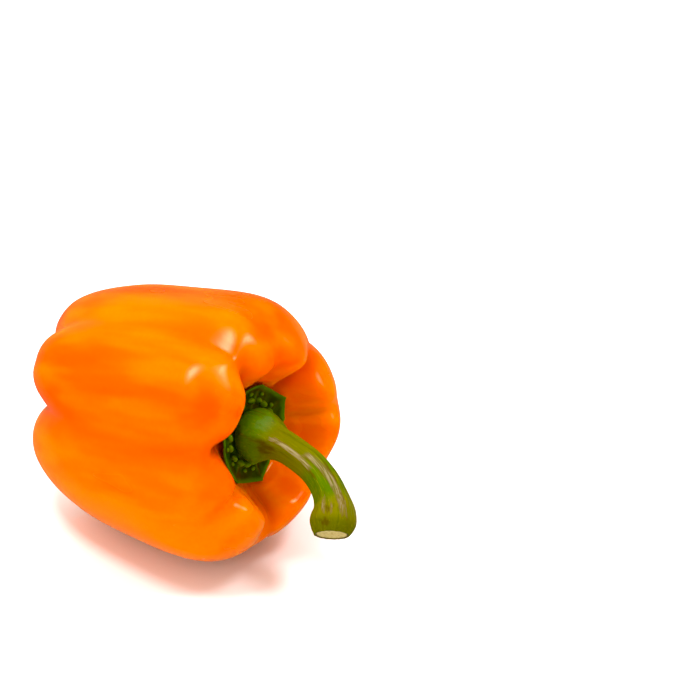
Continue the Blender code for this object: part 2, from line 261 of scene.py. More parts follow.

# Patches and streaks of the skin, fibres and threads of the stem: the noise's squeeze lengthwise, which draws
# them out, its lumps per millimetre, and how far it shifts the orange's depth either way.
PATCHES = {"squeeze": 0.35, "scale": 0.045, "swing": 0.12}
STREAKS = {"squeeze": 0.15, "scale": 0.11, "swing": 0.22}
FIBRES = {"squeeze": 0.06, "scale": 1.1}
THREADS = {"squeeze": 0.05, "scale": 2.6}

# Most of a noise lies in this span.
NOISE_SPAN = (0.3, 0.7)

# Where painted shade darkens and reddens the skin, by its depth in a furrow, and where the blossom scar sets
# in, by its place along the profile.
FURROW_SHADE_SPAN = (0.35, 1.15)
BLOSSOM_SCAR_BEGINS = (0.988, 0.998)

# Where the stem's colours and its shine change: from and to, in millimetres along it.
BULB_TO_OLIVE = (7, 13)
OLIVE_TO_GREEN = (22, 34)
GREEN_TO_KNOB = (38, 43)
KNOB_TO_DARK = (45.5, 49)
SCARS_TO_BROWN = (28, 46)
SHINE_TO_MATTE = (8, 12)

# Roughness of the skin, the calyx and the stem, each from its least to its most.
SKIN_ROUGHNESS = (0.23, 0.28)
CALYX_ROUGHNESS = (0.30, 0.42)
STEM_ROUGHNESS = (0.42, 0.80)

# Colours, linear.
ORANGE_LIGHT = (0.82, 0.155, 0.0007, 1)
ORANGE_DEEP = (0.74, 0.055, 0.0003, 1)
# Painted shade for the furrows: a darker, redder orange.
ORANGE_FURROW_SHADE = (0.66, 0.055, 0.0003, 1)
BLOSSOM_SCAR = (0.120, 0.050, 0.012, 1)
CALYX_DARK = (0.007, 0.018, 0.001, 1)
CALYX_MID = (0.020, 0.050, 0.001, 1)
CALYX_BRIGHT = (0.100, 0.190, 0.006, 1)
CALYX_EDGE = (0.060, 0.170, 0.010, 1)
STALK_BULB = (0.058, 0.142, 0.005, 1)
STALK_OLIVE = (0.108, 0.108, 0.002, 1)
STALK_GREEN = (0.055, 0.110, 0.002, 1)
STALK_KNOB = (0.140, 0.120, 0.002, 1)
STALK_LIGHT = (0.230, 0.220, 0.010, 1)
STALK_DARK = (0.050, 0.060, 0.001, 1)
STALK_STAIN = (0.060, 0.032, 0.004, 1)
SCAR_CREAM = (0.235, 0.195, 0.095, 1)
SCAR_BROWN = (0.110, 0.060, 0.016, 1)
CUT_CREAM = (0.400, 0.320, 0.120, 1)
CORK = (0.060, 0.040, 0.018, 1)


def hermite(knots, values, at):
    """Smooth curve through (knots, values), read at the numbers in at."""
    knots = np.asarray(knots, float)
    values = np.asarray(values, float)
    slopes = np.gradient(values)
    slopes[1:-1] = (values[2:] - values[:-2]) / (knots[2:] - knots[:-2])
    slopes[0] = (values[1] - values[0]) / (knots[1] - knots[0])
    slopes[-1] = (values[-1] - values[-2]) / (knots[-1] - knots[-2])
    i = np.clip(np.searchsorted(knots, at, side="right") - 1, 0, len(knots) - 2)
    width = knots[i + 1] - knots[i]
    t = (at - knots[i]) / width
    start = (2 * t**3 - 3 * t**2 + 1) * values[i] + (t**3 - 2 * t**2 + t) * width * slopes[i]
    end = (3 * t**2 - 2 * t**3) * values[i + 1] + (t**3 - t**2) * width * slopes[i + 1]
    return start + end


def hermite_round(angles, values, at):
    """The same curve closed round a full turn."""
    order = np.argsort(np.asarray(angles) % TURN)
    angles = (np.asarray(angles, float) % TURN)[order]
    values = np.asarray(values, float)[order]
    knots = np.concatenate([angles[-2:] - TURN, angles, angles[:2] + TURN])
    padded = np.concatenate([values[-2:], values, values[:2]])
    return hermite(knots, padded, at % TURN)


def signed_turn(angle):
    """An angle brought between minus and plus half a turn."""
    return (angle + math.pi) % TURN - math.pi


def ease(share):
    """A smooth step from 0 to 1."""
    share = np.clip(share, 0, 1)
    return share**2 * (3 - 2 * share)


def bell(at, middle, spread):
    """A soft bump of height 1 round a middle."""
    return np.exp(-(((at - middle) / spread) ** 2))


def lobe_spans():
    """The furrows' angles, and the width of the lobe that follows each."""
    starts = np.radians([furrow[0] for furrow in FURROWS])
    return starts, np.diff(np.append(starts, starts[0] + TURN))


def furrow_depth(along, angle):
    """How far each point lies from a lobe's crest (0) to a furrow's floor (1)."""
    furrow_angles, widths = lobe_spans()
    softness = hermite(DEPTH_AT, FURROW_SOFTNESS, along)
    sharpness = hermite(DEPTH_AT, FURROW_SHARPNESS, along)
    depth = np.zeros(np.broadcast_shapes(along.shape, angle.shape))
    for number, (_, wander, depths) in enumerate(FURROWS):
        offset = signed_turn(angle - furrow_angles[number] - math.radians(wander) * (along - TWIST_ABOUT))
        half_width = np.where(offset >= 0, widths[number], widths[number - 1]) / 2
        x = np.abs(offset) / half_width
        x = np.sqrt(x**2 + softness**2) - softness**2 / (1 + softness)
        strength = hermite(DEPTH_AT, depths + (DEPTH_AT_TIP,), along)
        depth += strength * np.clip(1 - x, 0, 1) ** sharpness
    for degrees, half_width, strength, end in CREASES:
        offset = signed_turn(angle - math.radians(degrees))
        fade = ease((along - CREASE_START) / CREASE_RISE) * ease((end - along) / CREASE_FALL)
        depth += strength * fade * np.exp(-((offset / math.radians(half_width)) ** 2))
    return depth


def fruit_surface(along, angle, furrowed=1):
    """Points of the skin at positions down the profile and angles round it. No furrows if furrowed is 0."""
    along = np.asarray(along, float)[:, None]
    angle = np.asarray(angle, float)[None, :]
    furrow_angles, widths = lobe_spans()
    middles = furrow_angles + widths / 2
    swell = hermite_round(middles, [lobe[0] for lobe in LOBES], angle)
    shoulder = hermite_round(middles, [lobe[1] for lobe in LOBES], angle)
    tip = hermite_round(middles, [lobe[2] for lobe in LOBES], angle)

    swell = 1 + (swell - 1) * np.clip((along - SWELL_START) / SWELL_RISE, 0, 1)
    near_tip = bell(along, TIP_AT, TIP_SPREAD)
    crest_r = hermite(PROFILE_AT, CREST_RADIUS, along) * FRUIT_RADIUS * swell
    floor_r = hermite(PROFILE_AT, FLOOR_RADIUS, along) * FRUIT_RADIUS * swell
    crest_z = bell(along, SHOULDER_AT, SHOULDER_SPREAD) * shoulder - near_tip * tip
    crest_z -= hermite(PROFILE_AT, CREST_DROP, along) * FRUIT_LENGTH
    floor_z = -hermite(PROFILE_AT, FLOOR_DROP, along) * FRUIT_LENGTH - FLOOR_REACH * near_tip * tip

    depth = furrow_depth(along, angle) * furrowed
    radius = crest_r + depth * (floor_r - crest_r)
    z = crest_z + depth * (floor_z - crest_z) + FRUIT_LENGTH / 2
    turned = angle + TWIST * (along - TWIST_ABOUT)
    height = z / (FRUIT_LENGTH / 2)
    x = radius * np.cos(turned) + BEND[0] * (height**2 - 1) + SKEW[0] * height
    y = radius * np.sin(turned) + BEND[1] * (height**2 - 1) + SKEW[1] * height
    return np.stack([x, y, z], axis=-1)


def lobe_columns(per_lobe):
    """Angles of the mesh's columns: one on each furrow's floor, and closer together near it."""
    share = np.arange(per_lobe) / per_lobe
    share = share - CROWDING * np.sin(TURN * share) / TURN
    return np.concatenate([start + share * width for start, width in zip(*lobe_spans())])


def lay_down(points):
    """Points of the fruit's frame, in millimetres, as metres in the row frame."""
    turn = Matrix.Rotation(HEADING, 3, "Z") @ Matrix.Rotation(LEAN, 3, "Y")
    return (np.asarray(points) @ np.array(turn).T + np.array(PLACE)) * MM


def grid_normals(points):
    """Unit normals of a grid of points that closes on itself along its second direction."""
    down = np.gradient(points, axis=0)
    round_way = np.roll(points, -1, axis=1) - np.roll(points, 1, axis=1)
    normals = np.cross(down, round_way)
    lengths = np.linalg.norm(normals, axis=-1, keepdims=True)
    return normals / np.maximum(lengths, 1e-9)


def rough_field(points, size):
    """Smooth noise, about -1 to 1, at each point, with lumps of about the given size."""
    flat = np.asarray(points, float).reshape(-1, 3) / size
    values = [noise.noise(Vector(point)) for point in flat]
    return np.array(values).reshape(np.asarray(points).shape[:-1])


def skin(name, rings, start_pole, end_pole, fields):
    """A closed piece from a grid of points: quads between rings and a fan at each end.

    fields holds named numbers for the material: each is a grid like rings, then its two poles' values.
    """
    rows, columns = rings.shape[:2]
    points = np.concatenate([rings.reshape(-1, 3), [start_pole, end_pole]])
    grid = np.arange(rows * columns).reshape(rows, columns)
    beside = np.roll(grid, -1, axis=1)
    quads = np.stack([grid[:-1], grid[1:], beside[1:], beside[:-1]], axis=-1).reshape(-1, 4)
    first = np.full(columns, rows * columns)
    last = first + 1
    start_fan = np.stack([grid[0], beside[0], first], axis=-1)
    end_fan = np.stack([beside[-1], grid[-1], last], axis=-1)
    faces = quads.tolist() + start_fan.tolist() + end_fan.tolist()

    data = bpy.data.meshes.new(name)
    data.from_pydata(lay_down(points).tolist(), [], faces)
    for field, (values, start_value, end_value) in fields.items():
        flat = np.concatenate([np.asarray(values, float).reshape(rows * columns, -1),
                               [np.atleast_1d(start_value), np.atleast_1d(end_value)]])
        if flat.shape[1] == 3:
            layer = data.attributes.new(field, "FLOAT_VECTOR", "POINT")
            layer.data.foreach_set("vector", flat.astype(np.float32).ravel())
        else:
            layer = data.attributes.new(field, "FLOAT", "POINT")
            layer.data.foreach_set("value", flat.astype(np.float32).ravel())
    if signed_volume(data) < 0:
        data.flip_normals()
    data.shade_smooth()
    item = bpy.data.objects.new(name, data)
    bpy.context.scene.collection.objects.link(item)
    return item


def signed_volume(data):
    """The volume inside a closed mesh: negative if its faces look inwards."""
    points = np.zeros(len(data.vertices) * 3)
    data.vertices.foreach_get("co", points)
    points = points.reshape(-1, 3)
    data.calc_loop_triangles()
    corners = np.zeros(len(data.loop_triangles) * 3, int)
    data.loop_triangles.foreach_get("vertices", corners)
    a, b, c = (points[corners.reshape(-1, 3)[:, k]] for k in range(3))
    return np.einsum("ij,ij->i", a, np.cross(b, c)).sum() / 6


class Finish:
    """A material's node tree, with short calls for the nodes it is made of."""

    def __init__(self, name):
        self.material = bpy.data.materials.new(name)
        self.material.use_nodes = True
        self.tree = self.material.node_tree
        self.shader = self.tree.nodes["Principled BSDF"]

    def put(self, socket, value):
        """Link a socket into another, or set it to a plain value."""
        if isinstance(value, bpy.types.NodeSocket):
            self.tree.links.new(value, socket)
        else:
            socket.default_value = value

    def field(self, name, part="Fac"):
        """A named number or vector of the mesh."""
        node = self.tree.nodes.new("ShaderNodeAttribute")
        node.attribute_name = name
        return node.outputs[part]

    def scaled(self, vector, factors):
        """A vector stretched by three factors."""
        node = self.tree.nodes.new("ShaderNodeVectorMath")
        node.operation = "MULTIPLY"
        self.put(node.inputs[0], vector)
        self.put(node.inputs[1], factors)
        return node.outputs[0]

    def noise(self, vector, scale, detail=2.0, roughness=0.5):
        """Noise between 0 and 1."""
        node = self.tree.nodes.new("ShaderNodeTexNoise")
        self.put(node.inputs["Vector"], vector)
        node.inputs["Scale"].default_value = scale
        node.inputs["Detail"].default_value = detail
        node.inputs["Roughness"].default_value = roughness
        return node.outputs["Fac"]

    def step(self, value, low, high, out_low=0.0, out_high=1.0):
        """A smooth step of a value from out_low to out_high."""
        node = self.tree.nodes.new("ShaderNodeMapRange")
        node.interpolation_type = "SMOOTHSTEP"
        self.put(node.inputs["Value"], value)
        node.inputs["From Min"].default_value = low
        node.inputs["From Max"].default_value = high
        node.inputs["To Min"].default_value = out_low
        node.inputs["To Max"].default_value = out_high
        return node.outputs["Result"]

    def maths(self, operation, a, b):
        """One step of arithmetic."""
        node = self.tree.nodes.new("ShaderNodeMath")
        node.operation = operation
        self.put(node.inputs[0], a)
        self.put(node.inputs[1], b)
        return node.outputs[0]

    def mix(self, share, a, b):
        """A blend of two colours."""
        node = self.tree.nodes.new("ShaderNodeMix")
        node.data_type = "RGBA"
        self.put(node.inputs["Factor"], share)
        self.put(node.inputs["A"], a)
        self.put(node.inputs["B"], b)
        return node.outputs["Result"]

    def bump(self, height, distance, strength=1.0):
        """A fine relief, in metres."""
        node = self.tree.nodes.new("ShaderNodeBump")
        node.inputs["Strength"].default_value = strength
        node.inputs["Distance"].default_value = distance
        self.put(node.inputs["Height"], height)
        self.put(self.shader.inputs["Normal"], node.outputs["Normal"])

    def surface(self, colour, roughness, **constants):
        """Set the shader's colour, its roughness and other inputs that are the same all over."""
        self.put(self.shader.inputs["Base Color"], colour)
        self.put(self.shader.inputs["Roughness"], roughness)
        for name, value in constants.items():
            self.shader.inputs[name.replace("_", " ")].default_value = value


def fruit_finish():
    """Waxy orange skin, softly glossy: deeper on some lobes, partly as painted shade, darker and redder in
    the furrows as painted shade, with a dry blossom scar.
    """
    finish = Finish("fruit_skin")
    grown = finish.field("grown", "Vector")
    long_way = finish.scaled(grown, (1, 1, PATCHES["squeeze"]))
    patches = finish.noise(long_way, scale=PATCHES["scale"], detail=3)
    patches = finish.step(patches, 0.35, 0.68, -PATCHES["swing"], PATCHES["swing"])
    streaks = finish.noise(finish.scaled(grown, (1, 1, STREAKS["squeeze"])), scale=STREAKS["scale"], detail=2)
    streaks = finish.step(streaks, *NOISE_SPAN, -STREAKS["swing"], STREAKS["swing"])
    # The tone round the fruit is partly the lobes' own orange and partly painted shade.
    tone_and_shade = finish.maths("ADD", finish.field("tone_and_shade"), finish.maths("ADD", patches, streaks))
    colour = finish.mix(finish.step(tone_and_shade, 0, 1), ORANGE_LIGHT, ORANGE_DEEP)
    # Painted shade: the furrows are darkened and reddened by their depth.
    furrow = finish.step(finish.field("furrow"), *FURROW_SHADE_SPAN, 0, 0.75)
    colour = finish.mix(furrow, colour, ORANGE_FURROW_SHADE)
    speckle = finish.step(finish.noise(grown, scale=0.9, detail=3), *NOISE_SPAN, 0.0, 0.10)
    colour = finish.mix(speckle, colour, ORANGE_DEEP)
    blossom_scar = finish.step(finish.field("along"), *BLOSSOM_SCAR_BEGINS, 0, 0.85)
    colour = finish.mix(blossom_scar, colour, BLOSSOM_SCAR)
    finish.surface(
        colour,
        finish.step(finish.noise(long_way, scale=0.05, detail=2), *NOISE_SPAN, *SKIN_ROUGHNESS),
        Subsurface_Weight=0.55,
        Subsurface_Radius=(1.0, 0.30, 0.05),
        Subsurface_Scale=0.004,
        Specular_IOR_Level=0.24,
        Specular_Tint=(1.0, 0.95, 0.62, 1),
    )
    finish.bump(finish.noise(grown, scale=0.9, detail=2), distance=0.00002, strength=0.5)
    return finish.material


def make_fruit():
    """The lobed fruit, with its skin's waves and ripples, set flat where it touches the ground."""
    along = np.linspace(0, 1, FRUIT_ROWS)
    angle = lobe_columns(COLUMNS_PER_LOBE)
    points = fruit_surface(along, angle)
    depth = furrow_depth(along[:, None], angle[None, :])
    waves = rough_field(points * (1, 1, 1 / WAVE_STRETCH), WAVE_SIZE)
    around = np.stack(np.broadcast_arrays(
        np.cos(angle)[None, :] * RIPPLES_PER_TURN / TURN,
        np.sin(angle)[None, :] * RIPPLES_PER_TURN / TURN,
        along[:, None] * RIPPLES_LENGTHWISE,
    ), axis=-1)
    ripples = rough_field(around, 1.0) * bell(along, RIPPLE_AT, RIPPLE_SPREAD)[:, None]
    relief = (WAVE_HEIGHT * waves + RIPPLE_HEIGHT * ripples)[..., None]
    inner, outer = points[0, 0].copy(), points[-1, 0].copy()
    raised = points[1:-1] + (grid_normals(points) * relief)[1:-1]
    # The tone round the fruit: partly the lobes' own orange, partly painted shade.
    tone_at, tone_and_shade = zip(*ORANGE_DEPTH_AND_SHADE)
    tone_and_shade = hermite_round(np.radians(tone_at), tone_and_shade, angle)
    item = skin("fruit_flesh", raised, inner, outer, {
        "grown": (raised, inner, outer),
        "furrow": (depth[1:-1], 0, 1),
        "tone_and_shade": (np.broadcast_to(tone_and_shade, depth[1:-1].shape), 0.5, 0.5),
        "along": (np.broadcast_to(along[1:-1, None], depth[1:-1].shape), 0, 1),
    })
    for vertex in item.data.vertices:
        vertex.co.z = max(vertex.co.z, 0.0)
    item.data.materials.append(fruit_finish())
    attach(item, "root")
    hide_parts("fruit")


def hollow_floor():
    """A tree of the hollow's faces without its furrows, for finding its height under a point."""
    angles = np.linspace(0, TURN, HOLLOW_COLUMNS, endpoint=False)
    points = fruit_surface(np.linspace(0, HOLLOW_END, HOLLOW_ROWS), angles, furrowed=0)
    rows, columns = points.shape[:2]
    vertices = [Vector(point) for point in points.reshape(-1, 3)]
    faces = []
    for i in range(rows - 1):
        for j in range(columns):
            k = (j + 1) % columns
            faces.append((i * columns + j, (i + 1) * columns + j, (i + 1) * columns + k, i * columns + k))
    return BVHTree.FromPolygons(vertices, faces)


def round_point(angle, radius):
    """A flat point at an angle and a radius."""
    return Vector((math.cos(angle), math.sin(angle))) * radius


def calyx_rim():
    """Points along the dish's edge, each with its nearness to a corner."""
    rim = []
    corners = [round_point(math.radians(degrees), radius) for degrees, radius in CALYX_CORNERS]
    for start, end in zip(corners, corners[1:] + corners[:1]):
        columns = round((end - start).length * CALYX_COLUMNS_PER_MM)
        for j in range(columns):
            share = j / columns
            bow = 1 - EDGE_BOW * math.sin(math.pi * share)
            rim.append((start.lerp(end, share) * bow, math.cos(math.pi * share) ** CORNER_REACH))
    return rim


def nodules():
    """The small bumps: place, direction round the ring, height, and half-sizes along and across the ring."""
    scatter = random.Random(NODULE_SEED)
    bumps = []
    for row in NODULE_ROWS:
        for i in range(row["count"]):
            angle = TURN * (i + scatter.uniform(-NODULE_SCATTER, NODULE_SCATTER)) / row["count"]
            place = round_point(angle, row["ring"] + scatter.uniform(-NODULE_SCATTER, NODULE_SCATTER))
            size = scatter.uniform(NODULE_SMALLEST, 1.0)
            bumps.append((place, angle, size * row["height"], size * row["long"], size * row["wide"]))
    return bumps


def nodule_height(point, bumps):
    """How far the nodules raise the dish at a point of it."""
    raised = 0.0
    for place, angle, height, half_length, half_width in bumps:
        offset = point - place
        across = offset.x * math.cos(angle) + offset.y * math.sin(angle)
        around = offset.y * math.cos(angle) - offset.x * math.sin(angle)
        reach = (across / half_width) ** 2 + (around / half_length) ** 2
        if reach < 1:
            raised = max(raised, height * (1 - reach) ** NODULE_ROUNDNESS)
    return raised


def calyx_heights(point, share, near_corner, floor, bumps):
    """Underside and top of the dish at a point, and how much of a nodule stands there."""
    above = Vector((point.x + CALYX_CENTRE[0], point.y + CALYX_CENTRE[1], FRUIT_LENGTH))
    hit = floor.ray_cast(above, Vector((0, 0, -1)))[0]
    low = hit.z + CALYX_LIFT + (RIM_LIFT + CORNER_LIFT * near_corner) * share**4
    high = low + CALYX_THICKNESS * (1 - EDGE_THINNING * share**2)
    high += RIB_HEIGHT * near_corner**2 * math.sin(math.pi * share) ** 2
    crepe = noise.noise(Vector((point.x, point.y, 0)) / CREPE_SIZE)
    high += CREPE_HEIGHT * crepe * math.sin(math.pi * share)
    bump = nodule_height(point, bumps)
    off_seat = ease((point.length - CALYX_SEAT_RADIUS) / CALYX_SEAT_BLEND)
    return low, CALYX_SEAT_HEIGHT + (high + bump - CALYX_SEAT_HEIGHT) * off_seat, bump * off_seat


def calyx_finish():
    """Leathery green: dark in the dish, brighter on its rim, its veins and its nodules."""
    finish = Finish("calyx_skin")
    grown = finish.field("grown", "Vector")
    mottle = finish.step(finish.noise(grown, scale=0.35, detail=3), 0.35, 0.65)
    colour = finish.mix(mottle, CALYX_DARK, CALYX_MID)
    vein = finish.step(finish.field("vein"), 0.2, 1.0, 0, 0.4)
    colour = finish.mix(vein, colour, CALYX_BRIGHT)
    colour = finish.mix(finish.step(finish.field("rim"), 0.88, 0.98, 0, 0.8), colour, CALYX_EDGE)
    colour = finish.mix(finish.step(finish.field("nodule"), 0.05, 0.8), colour, CALYX_BRIGHT)
    finish.surface(
        colour,
        finish.step(finish.noise(grown, scale=0.8, detail=2), *NOISE_SPAN, *CALYX_ROUGHNESS),
        Subsurface_Weight=0.1,
        Subsurface_Radius=(0.3, 1.0, 0.1),
        Subsurface_Scale=0.001,
        Specular_IOR_Level=0.22,
    )
    finish.bump(finish.noise(grown, scale=1.8, detail=3), distance=0.00015, strength=0.5)
    return finish.material


def calyx_table(rim, shares):
    """The dish ring by ring: at each point its x, its y, its underside, its top and its nodule's height."""
    floor = hollow_floor()
    bumps = nodules()
    table = []
    for share in shares:
        row = []
        for edge, near_corner in rim:
            point = edge * share
            row.append((point.x, point.y) + calyx_heights(point, share, near_corner, floor, bumps))
        table.append(row)
    return np.array(table)


def calyx_edge(rim, last_row):
    """Rings that round the dish's edge off, from its top to its underside."""
    rings = []
    for step in range(1, CALYX_EDGE_STEPS):
        turn = math.pi * step / CALYX_EDGE_STEPS
        ring = []
        for (edge, _), (x, y, low, high, _) in zip(rim, last_row):
            out = Vector((x, y)).lerp(edge, math.sin(turn))
            ring.append((out.x, out.y, (high + low) / 2 + (high - low) / 2 * math.cos(turn)))
        rings.append(ring)
    return np.array(rings)


def make_calyx():
    """The dish: its underside follows the hollow, its top carries ribs and nodules, and its edge is round."""
    rim = calyx_rim()
    shares = np.linspace(CALYX_INNER_SHARE, CALYX_OUTER_SHARE, CALYX_TOP_RINGS)
    top = calyx_table(rim, shares)
    edge = calyx_edge(rim, top[-1])
    under = top[::-CALYX_UNDER_EVERY]
    rings = np.concatenate([top[..., [0, 1, 3]], edge, under[..., [0, 1, 2]]])
    rings[..., :2] += CALYX_CENTRE

    out_share = np.concatenate([shares, np.ones(len(edge)), shares[::-CALYX_UNDER_EVERY]])
    near_corner = np.array([near for _, near in rim])
    bare = np.zeros((len(edge) + len(under), len(rim)))
    nodule = np.concatenate([top[..., 4], bare])
    vein = np.concatenate([np.sin(math.pi * shares)[:, None] * near_corner**2, bare])
    low_pole = rings[-1].mean(axis=0)
    high_pole = (low_pole[0], low_pole[1], CALYX_SEAT_HEIGHT)
    item = skin("calyx_dish", rings, high_pole, low_pole, {
        "grown": (rings, high_pole, low_pole),
        "rim": (np.broadcast_to(out_share[:, None], rings.shape[:2]), 0, 0),
        "nodule": (nodule, 0, 0),
        "vein": (vein, 0, 0),
    })
    item.data.materials.append(calyx_finish())
    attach(item, "root")
    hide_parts("calyx")


def stem_centreline():
    """Points and distances run along the stem's middle."""
    points = np.array(STEM_POINTS)
    knots = np.append(0, np.cumsum(np.linalg.norm(np.diff(points, axis=0), axis=1)))
    steps = round(knots[-1] / STEM_STEP)
    at = np.linspace(0, knots[-1], steps + 1)
    line = np.stack([hermite(knots, points[:, k], at) for k in range(3)], axis=-1)
    return line, at * STEM_RADII[-1][0] / knots[-1]


def stem_axes(line):
    """For each point of the centreline: forward, and two directions across it that don't spin."""
    tangents = np.gradient(line, axis=0)
    tangents[0] = (0, 0, 1)
    side = Vector((1, 0, 0))
    axes = []
    for tangent in tangents:
        forward = Vector(tangent).normalized()
        side = (side - side.dot(forward) * forward).normalized()
        axes.append((forward, side, forward.cross(side)))
    return np.array(axes)


def scar_field(run, angle, radius):
    """How far inside a scar each point lies: 1 on its middle line, 0 on its edge and below 0 outside."""
    field = np.full(np.broadcast_shapes(run.shape, angle.shape), -1.0)
    for scar in SCARS:
        share = (run - scar["start"]) / (scar["end"] - scar["start"])
        middle = np.radians(scar["from"] + (scar["to"] - scar["from"]) * share)
        offset = np.abs(signed_turn(angle - middle)) * radius
        ends = np.minimum(run - scar["start"], scar["end"] - run) / SCAR_TAPER
        inside = np.minimum(1 - offset / scar["half_width"], ends)
        field = np.maximum(field, inside)
    return field


def foot_ridge(run, angle):
    """Height of the ridge on the stem's foot."""
    share = (run - FOOT_RIDGE["start"]) / (FOOT_RIDGE["end"] - FOOT_RIDGE["start"])
    middle = np.radians(FOOT_RIDGE["from"] + (FOOT_RIDGE["to"] - FOOT_RIDGE["from"]) * share)
    offset = signed_turn(angle - middle) / math.radians(FOOT_RIDGE["half_width"])
    fade = ease(share * RIDGE_STEEPNESS) * ease((1 - share) * RIDGE_STEEPNESS)
    return FOOT_RIDGE["height"] * fade * np.exp(-(offset**2))


def stain_field(run, angle):
    """How stained each point is, from 0 to 1."""
    field = np.zeros(np.broadcast_shapes(run.shape, angle.shape))
    for stain in STAINS:
        offset = signed_turn(angle - math.radians(stain["angle"])) / math.radians(stain["width"])
        away = ((run - stain["run"]) / stain["length"]) ** 2 + offset**2
        field = np.maximum(field, np.exp(-away))
    return field


def stem_finish():
    """Green stalk with lengthwise fibres, dry cream scars, and a pale cut end in a corky rim."""
    finish = Finish("stem_skin")
    straight = finish.field("straight", "Vector")
    run = finish.field("run")
    fibres = finish.scaled(straight, (1, 1, FIBRES["squeeze"]))
    fibres = finish.noise(fibres, scale=FIBRES["scale"], detail=4, roughness=0.6)
    threads = finish.scaled(straight, (1, 1, THREADS["squeeze"]))
    threads = finish.noise(threads, scale=THREADS["scale"], detail=3, roughness=0.6)
    blotches = finish.noise(straight, scale=0.16, detail=3)
    colour = finish.mix(finish.step(run, *BULB_TO_OLIVE), STALK_BULB, STALK_OLIVE)
    greener = finish.maths("MULTIPLY", finish.step(run, *OLIVE_TO_GREEN), finish.step(blotches, 0.35, 0.6))
    colour = finish.mix(greener, colour, STALK_GREEN)
    colour = finish.mix(finish.step(run, *GREEN_TO_KNOB, 0, 0.8), colour, STALK_KNOB)
    colour = finish.mix(finish.step(run, *KNOB_TO_DARK, 0, 0.55), colour, STALK_DARK)
    colour = finish.mix(finish.step(fibres, 0.50, 0.68, 0, 0.55), colour, STALK_DARK)
    colour = finish.mix(finish.step(threads, 0.56, 0.72, 0, 0.5), colour, STALK_LIGHT)
    patchy = finish.noise(finish.scaled(straight, (1, 1, 0.5)), scale=0.6, detail=3)
    patchy = finish.step(patchy, *NOISE_SPAN, -0.40, 0.25)
    stain = finish.maths("ADD", finish.field("stain"), patchy)
    colour = finish.mix(finish.step(stain, 0.25, 1.0, 0, 0.75), colour, STALK_STAIN)

    scar = finish.maths("ADD", finish.field("scar"), finish.maths("MULTIPLY", fibres, 1.1))
    scarred = finish.step(scar, 0.62, 0.90)
    scarred = finish.maths("MULTIPLY", scarred, finish.step(threads, 0.38, 0.62, 0.95, 0.50))
    dry = finish.mix(finish.step(threads, 0.40, 0.58), SCAR_CREAM, SCAR_BROWN)
    dry = finish.mix(finish.step(scar, 0.75, 1.15, 0.6, 0), dry, SCAR_BROWN)
    dry = finish.mix(finish.step(run, *SCARS_TO_BROWN, 0, 0.5), dry, SCAR_BROWN)
    colour = finish.mix(scarred, colour, dry)

    cut = finish.field("cut")
    face = finish.step(cut, 0.02, 0.06)
    browned = finish.step(finish.noise(straight, scale=1.4, detail=3), 0.4, 0.7, 0, 0.4)
    flesh = finish.mix(browned, CUT_CREAM, SCAR_BROWN)
    heart = finish.step(cut, 0.90, 0.95)
    flesh = finish.mix(heart, flesh, SCAR_BROWN)
    inside_cork = finish.step(cut, 0.10, 0.17)
    colour = finish.mix(face, colour, finish.mix(inside_cork, CORK, flesh))

    dull = finish.maths("MAXIMUM", scarred, face)
    matte = finish.maths("MAXIMUM", dull, finish.step(run, *SHINE_TO_MATTE, 0, 0.8))
    finish.surface(
        colour,
        finish.step(matte, 0, 1, *STEM_ROUGHNESS),
        Subsurface_Weight=0.08,
        Subsurface_Radius=(0.5, 1.0, 0.1),
        Subsurface_Scale=0.001,
        Specular_IOR_Level=0.14,
    )
    grain = finish.maths("MULTIPLY", finish.noise(straight, scale=2.2, detail=3), 0.3)
    finish.bump(finish.maths("ADD", fibres, grain), distance=0.0003, strength=0.5)
    return finish.material


def stem_relief(run, angle, radius):
    """How far out the stalk's skin lies, its points as if it were straight, and how scarred it is."""
    share = run / STEM_RADII[-1][0]
    fade = ease(share / STEM_RIB_FADE) * ease((1 - share) / STEM_RIB_FADE)
    rib = (0.5 + 0.5 * np.cos(STEM_RIBS * (angle - STEM_RIB_ANGLE))) ** 2 - STEM_RIB_MEAN
    reach = radius * (1 + STEM_RIB_DEPTH * fade * rib)

    straight = np.stack(np.broadcast_arrays(reach * np.cos(angle), reach * np.sin(angle), run), axis=-1)
    scar = scar_field(run, angle, radius)
    relief = GROOVE_HEIGHT * rough_field(straight * (1, 1, 1 / GROOVE_STRETCH), GROOVE_SIZE)
    relief += SCAR_HEIGHT * ease(scar * SCAR_STEEPNESS)
    relief += LUMP_HEIGHT * rough_field(straight, LUMP_SIZE) * ease(1 - run / FOOT_RIDGE["end"])
    relief += foot_ridge(run, angle)
    ragged = rough_field(straight[-1:] * (1, 1, 0), LUMP_SIZE)
    reach = reach + ease(run / RELIEF_RISE) * relief
    reach = reach + RIM_RAGGED * ragged * ease(1 - (run[-1] - run) / RIM_LENGTH)
    return reach, straight, scar


